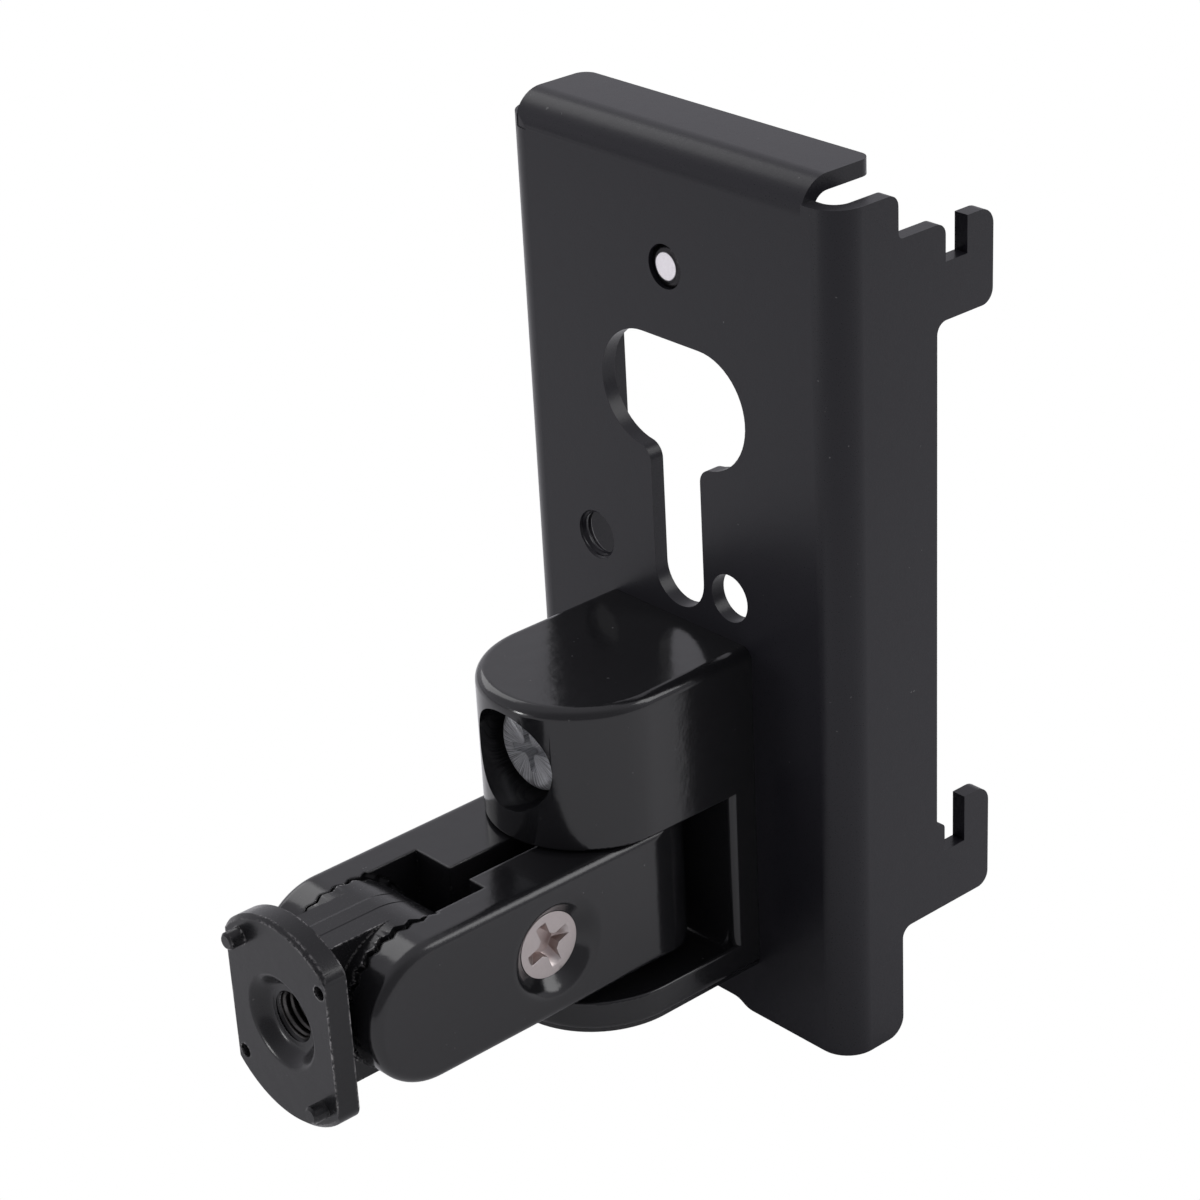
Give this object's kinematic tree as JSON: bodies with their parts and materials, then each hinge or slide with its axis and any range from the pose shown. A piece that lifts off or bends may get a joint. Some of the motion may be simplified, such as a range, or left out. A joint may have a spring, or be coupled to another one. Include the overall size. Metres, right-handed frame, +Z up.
{
  "type": "speaker wall bracket",
  "caption": "Folded steel wall plate with hooks and a keyhole, carrying a swivelling clamp arm and a tilting round adaptor that a small loudspeaker screws on to.",
  "frame": {"origin": "front face of the wall plate, on its centre line, level with its bottom edge", "axes": "+X along the plate's width, -Y out into the room, +Z up the wall"},
  "size_m": [0.0564, 0.092, 0.114],
  "materials": {
    "satin_black": "satin black powder coat",
    "gloss_black": "gloss black paint on a zinc casting",
    "zinc_plate": "bright zinc plate",
    "nickel_plate": "warm satin nickel plate",
    "pin_steel": "ground steel"
  },
  "bodies": {
    "wall": {"wall_plate": "satin_black", "lock_screw": "zinc_plate", "yoke": "gloss_black", "yoke_screw": "zinc_plate", "swivel_pin": "pin_steel"},
    "arm": {"arm_left": "gloss_black", "arm_right": "gloss_black", "clamp_screw": "nickel_plate", "tilt_pin": "pin_steel"},
    "adaptor": {"speaker_adaptor": "gloss_black"}
  },
  "joints": [
    {"name": "arm_swivel", "type": "hinge", "parent": "wall", "child": "arm", "pos_m": [0, -0.0163, 0.02435], "axis": [0, 0, 1], "range_deg": [-85, 85]},
    {"name": "adaptor_tilt", "type": "hinge", "parent": "arm", "child": "adaptor", "pos_m": [0, -0.0503, 0.02435], "axis": [1, 0, 0], "range_deg": [-75, 75]}
  ]
}
